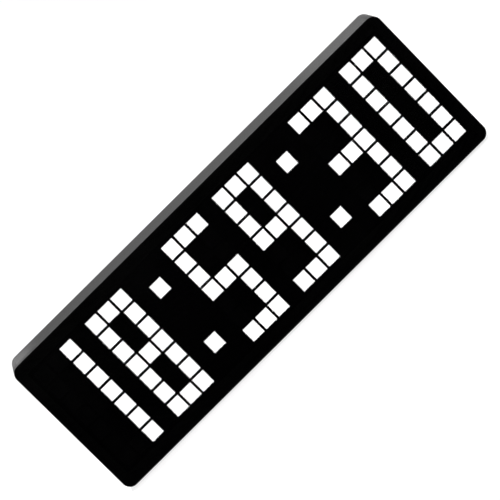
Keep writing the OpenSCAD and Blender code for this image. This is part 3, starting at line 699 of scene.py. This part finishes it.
# Threaded pan-head screws: shares of the shank's radius, of the pitch and of the head's radius and height
SCREW_SIDES, THREAD_STEPS = 36, 6
THREAD_CORE, CREST_HALF, TIP_SHARE = 0.78, 0.32, 0.35
HEAD_PROFILE = [(1.0, 0.0), (1.0, 0.42), (0.96, 0.66), (0.84, 0.84), (0.62, 0.95), (0.32, 1.0)]
RECESS_FLOOR, RECESS_FLOOR_REACH, RECESS_FLOOR_HALF = 0.42, 0.28, 0.119
RECESS_TOP, RECESS_TOP_REACH, RECESS_TOP_HALF = 1.1, 0.66, 0.17
FIRST_TURN, TURN_STEP = math.radians(17), math.radians(53)


def screw_rings(head_r, head_h, shank_r, length, pitch):
    """A pan-head screw along Y: a rolled thread up to the head's seat at y = 0, and the head above it."""

    def ring(height, radius_at):
        turns = [j / SCREW_SIDES for j in range(SCREW_SIDES)]
        spokes = [(radius_at(turn), math.tau * turn) for turn in turns]
        return [(r * math.cos(a), height, r * math.sin(a)) for r, a in spokes]

    def thread(height):
        tip = min(1.0, TIP_SHARE + (height + length) / pitch)

        def radius(turn):
            phase = (height / pitch + turn) % 1.0
            crest = max(0.0, 1.0 - abs(phase - 0.5) / CREST_HALF)
            return shank_r * tip * (THREAD_CORE + (1.0 - THREAD_CORE) * crest)

        return radius

    count = round(length / pitch * THREAD_STEPS)
    rings = []
    for i in range(count):
        height = -length + length * i / count
        rings.append(ring(height, thread(height)))
    for share, rise in HEAD_PROFILE:
        rings.append(ring(rise * head_h, lambda turn: share * head_r))
    return rings


def recess_bar(head_r, head_h, along_x):
    """One bar of a cross recess, narrower and shorter at its floor."""
    rings = []
    for height, reach, half in (
        (RECESS_FLOOR, RECESS_FLOOR_REACH, RECESS_FLOOR_HALF),
        (RECESS_TOP, RECESS_TOP_REACH, RECESS_TOP_HALF),
    ):
        a, b, y = reach * head_r, half * head_r, height * head_h
        corners = [(-a, -b), (a, -b), (a, b), (-a, b)]
        rings.append([(p, y, q) if along_x else (q, y, p) for p, q in corners])
    return rings


def screw_set(name, node, head_d, head_h, shank_d, pitch, to_rear=True):
    """Four screws in the place of a node, one in each corner of its box, heads to the rear or front."""
    low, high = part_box(node)
    centre, half = (low + high) / 2, (high - low) / 2
    head_r = head_d / 2
    length = high.y - low.y - head_h
    blank = mesh_of_rings("screw_blank", [screw_rings(head_r, head_h, shank_d / 2, length, pitch)])
    bars = [mesh_of_rings("screw_bar", [recess_bar(head_r, head_h, along)]) for along in (True, False)]
    screw = cut_away(blank, bars)
    seat = high.y - head_h if to_rear else low.y + head_h
    facing = Matrix.Rotation(0.0 if to_rear else math.pi, 4, "Z")
    work = bmesh.new()
    for i, (sx, sz) in enumerate(((-1, -1), (1, -1), (1, 1), (-1, 1))):
        spot = (centre.x + sx * (half.x - head_r), seat, centre.z + sz * (half.z - head_r))
        turn = Matrix.Rotation(FIRST_TURN + TURN_STEP * i, 4, "Y")
        copy = screw.copy()
        copy.transform(Matrix.Translation(spot) @ facing @ turn)
        work.from_mesh(copy)
    mesh = bpy.data.meshes.new(name)
    work.to_mesh(mesh)
    work.free()
    piece = keep(name, mesh, SCREW, "base")
    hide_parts(node)


# Width and height of the head and width of the shank, as in the CAD source, and pitch of the thread
CASE_SCREW = (4.2 * MM, 1.6 * MM, 2.2 * MM, 0.8 * MM)
BOARD_SCREW = (3.4 * MM, 1.2 * MM, 1.7 * MM, 0.6 * MM)
screw_set("cover_screw_set", "cover_screws", *CASE_SCREW)
screw_set("display_screw_set", "display_screws", *CASE_SCREW)
screw_set("board_screw_set", "board_screws", *BOARD_SCREW, to_rear=False)

# Contacts on the charging socket's tongue
CONTACTS, CONTACT_PITCH, CONTACT_W, CONTACT_T = 12, 0.5 * MM, 0.27 * MM, 0.08 * MM
CONTACT_L, CONTACT_TIP, TONGUE_T = 3.3 * MM, 0.25 * MM, 0.7 * MM
CONTACT_RISE, TIP_RISE = 0.5 * CONTACT_T, 0.1 * CONTACT_T


def contact_rings(x, side):
    """A gilt finger on one side of the tongue, with a tip that bends in to its edge."""
    front = usb_high.y - TONGUE_SINK - CONTACT_TIP
    skin = usb_mid.z + side * TONGUE_T / 2
    left, right = x - CONTACT_W / 2, x + CONTACT_W / 2
    inner = skin - side * CONTACT_T
    rings = []
    for y, rise in (
        (front - CONTACT_L, CONTACT_RISE),
        (front - 2 * CONTACT_TIP, CONTACT_RISE),
        (front, TIP_RISE),
    ):
        outer = skin + side * rise
        rings.append([(left, y, inner), (right, y, inner), (right, y, outer), (left, y, outer)])
    return rings


contact_places = [usb_mid.x + in_row(i, CONTACTS, CONTACT_PITCH) for i in range(CONTACTS)]
contacts = [contact_rings(x, side) for side in (-1, 1) for x in contact_places]
keep_rings("usb_contacts", contacts, GOLD)

# Small parts on the boards: chip capacitors and resistors, a charging chip and its coil
PART_LENGTH, PART_WIDTH, PART_TALL, PART_STEP = 2.0 * MM, 1.25 * MM, 0.65 * MM, 3.0 * MM
END_LENGTH, END_PROUD, PART_ROOM, PART_CUT = 0.45 * MM, 0.03 * MM, 2.2 * MM, 0.08 * MM
POWER_WIDE, POWER_HIGH, POWER_TALL, POWER_UP = 2.9 * MM, 1.6 * MM, 1.1 * MM, 5.0 * MM
LEG_PITCH, LEG_WIDE, LEG_REACH, LEG_TALL = 0.95 * MM, 0.4 * MM, 0.6 * MM, 0.3 * MM
COIL_WIDE, COIL_TALL, COIL_CUT, COIL_ASIDE = 4.0 * MM, 2.0 * MM, 0.8 * MM, 5.5 * MM
LEGS_PER_SIDE, MCU_CAPACITORS, LINK_RESISTORS, DRIVER_PARTS = 3, 3, 7, 5

controller_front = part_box("controller_board")[0].y
display_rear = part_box("display_board")[1].y


def block_rings(x, z, wide, high, seat, tall, cut=PART_CUT):
    """A low block with its corners and upper edge cut off. A negative height points to the front."""
    rings = []
    edge = math.copysign(PART_CUT, tall)
    for y, inset in ((seat, 0.0), (seat + tall - edge, 0.0), (seat + tall, PART_CUT)):
        a, b = wide / 2 - inset, high / 2 - inset
        outline = [(cut - a, -b), (a - cut, -b), (a, cut - b), (a, b - cut)]
        outline += [(-p, -q) for p, q in outline]
        rings.append([(x + p, y, z + q) for p, q in outline])
    return rings


def beside(node):
    """Places to the left and to the right of a node, with room for a part."""
    low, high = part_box(node)
    return low.x - PART_ROOM, high.x + PART_ROOM


def rows_of_parts():
    """Middle, seat and height of each capacitor and each resistor, in rows beside what they serve."""
    capacitors, resistors = [], []
    for i in range(MCU_CAPACITORS):
        z = mcu_mid.z + in_row(i, MCU_CAPACITORS, PART_STEP)
        capacitors += [(x, z, controller_front, -PART_TALL) for x in beside("controller_chip")]
    z = middle("crystal").z
    capacitors += [(x, z, controller_front, -PART_TALL) for x in beside("crystal")]
    low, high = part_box("link_header")
    for i in range(LINK_RESISTORS):
        x = (low.x + high.x) / 2 + in_row(i, LINK_RESISTORS, PART_STEP)
        resistors.append((x, low.z - PART_ROOM, controller_front, -PART_TALL))
    low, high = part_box("driver_chips")
    for i in range(DRIVER_PARTS):
        for x in (low.x + (i + 1) * PART_STEP, high.x - (i + 1) * PART_STEP):
            capacitors.append((x, high.z + PART_ROOM, display_rear, PART_TALL))
            resistors.append((x, low.z - PART_ROOM, display_rear, PART_TALL))
    return capacitors, resistors


def bodies_of(parts):
    """Rings of the bodies of chip parts, whose length runs up the board."""
    length = PART_LENGTH - END_LENGTH
    return [block_rings(x, z, PART_WIDTH, length, seat, tall) for x, z, seat, tall in parts]


def ends_of(parts):
    """Rings of the tinned ends of chip parts, a little proud of their bodies."""
    solids = []
    wide = PART_WIDTH + 2 * END_PROUD
    for x, z, seat, tall in parts:
        proud = math.copysign(END_PROUD, tall)
        for side in (-1, 1):
            end = z + side * (PART_LENGTH - END_LENGTH) / 2
            solids.append(block_rings(x, end, wide, END_LENGTH, seat, tall + proud))
    return solids


chip_capacitors, chip_resistors = rows_of_parts()
keep_rings("chip_capacitors", bodies_of(chip_capacitors), CERAMIC)
keep_rings("chip_resistors", bodies_of(chip_resistors), CHIP)
keep_rings("part_ends", ends_of(chip_capacitors + chip_resistors), TIN)


def on_power(x_off, z_off, wide, high, tall, cut=PART_CUT):
    """Rings of a block beside the middle of the charging chip, on the controller board's front."""
    x, z = usb_mid.x + x_off, usb_mid.z + POWER_UP + z_off
    return block_rings(x, z, wide, high, controller_front, -tall, cut)


leg_rise = (POWER_HIGH + LEG_REACH) / 2
leg_places = [in_row(i, LEGS_PER_SIDE, LEG_PITCH) for i in range(LEGS_PER_SIDE)]
power_legs = []
for side_rise in (-leg_rise, leg_rise):
    power_legs += [on_power(x, side_rise, LEG_WIDE, LEG_REACH, LEG_TALL) for x in leg_places]
power_chip = on_power(0.0, 0.0, POWER_WIDE, POWER_HIGH, POWER_TALL)
power_coil = on_power(COIL_ASIDE, 0.0, COIL_WIDE, COIL_WIDE, COIL_TALL, COIL_CUT)
keep_rings("power_chip", [power_chip], CHIP)
keep_rings("power_chip_legs", power_legs, TIN)
keep_rings("power_coil", [power_coil], CHIP)

# Floor: pale paper whose colour and glow change with the distance from the object
FLOOR_RADIUS, FLOOR_DISC, FLOOR_LEVEL, FLOOR_SWEEP, FLOOR_WALL = 5.0, 0.5, -0.2 * MM, 0.8, 1.2
FLOOR_SIDES, SWEEP_STEPS = 96, 8
NEAR, FAR = 0.15, 0.70
NEAR_COLOR, FAR_COLOR = (0.32, 0.32, 0.32), (0.10, 0.10, 0.10)
NEAR_GLOW, FAR_GLOW = 0.78, 0.97


def away(tree):
    """Distance from the object's origin."""
    reach = add(tree, "VectorMath", {"operation": "LENGTH"})
    feed(tree, reach.inputs[0], place(tree))
    return reach.outputs["Value"]


def floor_finish():
    """Pale paper that glows less near the object, where it takes a soft shadow."""
    made = surface(
        "pale_floor",
        lambda tree: tint(tree, away(tree), NEAR_COLOR, FAR_COLOR, NEAR, FAR),
        uneven(0.80, 0.90, 8),
        Emission_Color=(1.0, 1.0, 1.0, 1.0),
        Specular_IOR_Level=0.0,
    )
    tree = made.node_tree
    glow = spread(tree, away(tree), NEAR_GLOW, FAR_GLOW, NEAR, FAR)
    feed(tree, tree.nodes["Principled BSDF"].inputs["Emission Strength"], glow)
    return made


def quarter(radius):
    """Steps out and up along a quarter of a circle that starts level."""
    angles = [math.pi / 2 * i / SWEEP_STEPS for i in range(1, SWEEP_STEPS + 1)]
    return [(radius * math.sin(a), radius * (1 - math.cos(a))) for a in angles]


def make_floor():
    """A wide round floor that sweeps up into a low wall."""
    profile = [(FLOOR_DISC, FLOOR_LEVEL), (FLOOR_RADIUS, FLOOR_LEVEL)]
    profile += [(FLOOR_RADIUS + out, FLOOR_LEVEL + up) for out, up in quarter(FLOOR_SWEEP)]
    profile.append((FLOOR_RADIUS + FLOOR_SWEEP, FLOOR_LEVEL + FLOOR_SWEEP + FLOOR_WALL))
    turns = [math.tau * j / FLOOR_SIDES for j in range(FLOOR_SIDES)]
    work = bmesh.new()
    rings = []
    for reach, height in profile:
        rings.append([work.verts.new((reach * math.cos(a), reach * math.sin(a), height)) for a in turns])
    work.faces.new(rings[0])
    for low, high in zip(rings, rings[1:]):
        for j in range(FLOOR_SIDES):
            k = (j + 1) % FLOOR_SIDES
            work.faces.new((low[j], high[j], high[k], low[k]))
    mesh = bpy.data.meshes.new("floor")
    work.to_mesh(mesh)
    work.free()
    mesh.shade_smooth()
    mesh.materials.append(floor_finish())
    floor = bpy.data.objects.new("floor", mesh)
    bpy.context.scene.collection.objects.link(floor)


# Flag: a black card before the face, as in a studio, which only reflections see
FLAG_GAP, FLAG_REACH, FLAG_SWEEP, FLAG_HEIGHT = 0.5 * MM, 3.0, 0.6, 1.6


def make_flag():
    """The card lies before the face and sweeps up into a wall, so that the glossy face stays black."""
    front = cad_box[0].y - FLAG_GAP
    profile = [(front, 0.0), (front - FLAG_REACH, 0.0)]
    profile += [(front - FLAG_REACH - out, up) for out, up in quarter(FLAG_SWEEP)]
    profile.append((front - FLAG_REACH - FLAG_SWEEP, FLAG_HEIGHT))

    def build(work):
        rows = [[work.verts.new((side * FLAG_REACH, y, z)) for side in (-1, 1)] for y, z in profile]
        for near, far in zip(rows, rows[1:]):
            work.faces.new((near[0], near[1], far[1], far[0]))

    mesh = mesh_of("flag", build)
    cloth = patchy((0.0, 0.0, 0.0), (0.001, 0.001, 0.001), 40)
    mesh.materials.append(surface("flag_cloth", cloth, uneven(0.9, 1.0, 40), Specular_IOR_Level=0.0))
    flag = bpy.data.objects.new("flag", mesh)
    bpy.context.scene.collection.objects.link(flag)
    for kind in ("camera", "diffuse", "transmission", "volume_scatter", "shadow"):
        setattr(flag, f"visible_{kind}", False)


make_floor()
make_flag()

# Lights and world
SNOOT_MOUTH = 4.0 * MM
WORLD_GLOW = 0.35
CENTRE = (0.0, 0.0, 0.03)


def hang(name, light, at, aim):
    """A light at a point, aimed at another."""
    lamp = bpy.data.objects.new(name, light)
    bpy.context.scene.collection.objects.link(lamp)
    lamp.location = at
    lamp.rotation_euler = (Vector(aim) - Vector(at)).to_track_quat("-Z", "Y").to_euler()
    return lamp


def softbox(name, at, aim, size, watts):
    """A square soft light."""
    light = bpy.data.lights.new(name, "AREA")
    light.shape = "SQUARE"
    light.size = size
    light.energy = watts
    hang(name, light, at, aim).visible_camera = False


def snoot(name, at, aim, degrees, watts):
    """A narrow light with a soft rim."""
    light = bpy.data.lights.new(name, "SPOT")
    light.spot_size = math.radians(degrees)
    light.spot_blend = 1.0
    light.shadow_soft_size = SNOOT_MOUTH
    light.energy = watts
    hang(name, light, at, aim)


softbox("overhead", (0.14, 0.10, 0.54), CENTRE, 0.36, 3.6)
snoot("left_end", (-0.12, 0.05, 0.60), (-0.0925, 0.0, 0.061), 3.3, 38.0)
snoot("right_end", (0.10, 0.05, 0.60), (0.074, 0.0, 0.061), 5.0, 10.0)
softbox("front_left", (-1.1, -1.1, 1.1), CENTRE, 0.9, 3.0)
softbox("rear_right", (0.8, 1.3, 0.8), CENTRE, 0.7, 4.0)
softbox("rear_left", (-0.9, 1.2, 0.25), CENTRE, 0.5, 3.0)
world = bpy.data.worlds.new("studio")
world.use_nodes = True
sky = world.node_tree.nodes["Background"]
sky.inputs["Color"].default_value = (1.0, 1.0, 1.0, 1.0)
sky.inputs["Strength"].default_value = WORLD_GLOW
bpy.context.scene.world = world
bpy.context.scene.view_settings.view_transform = "Standard"

# Camera of the photograph: place, aim and roll fitted to the edges of the face and the lit cells
CAMERA_AT = Vector((0.00113, -1.07969, 0.20645))
CAMERA_AIM = Vector((0.00038, -0.01200, 0.03214))
CAMERA_ROLL = math.radians(-44.79)
FOCAL_MM, SENSOR_MM = 217.2, 36.0
view = bpy.data.cameras.new("camera")
view.lens = FOCAL_MM
view.sensor_width = SENSOR_MM
camera = bpy.data.objects.new("camera", view)
bpy.context.scene.collection.objects.link(camera)
upright = (CAMERA_AIM - CAMERA_AT).to_track_quat("-Z", "Y").to_matrix()
tilted = upright @ Matrix.Rotation(CAMERA_ROLL, 3, "Z")
camera.matrix_world = Matrix.Translation(CAMERA_AT) @ tilted.to_4x4()
bpy.context.scene.camera = camera
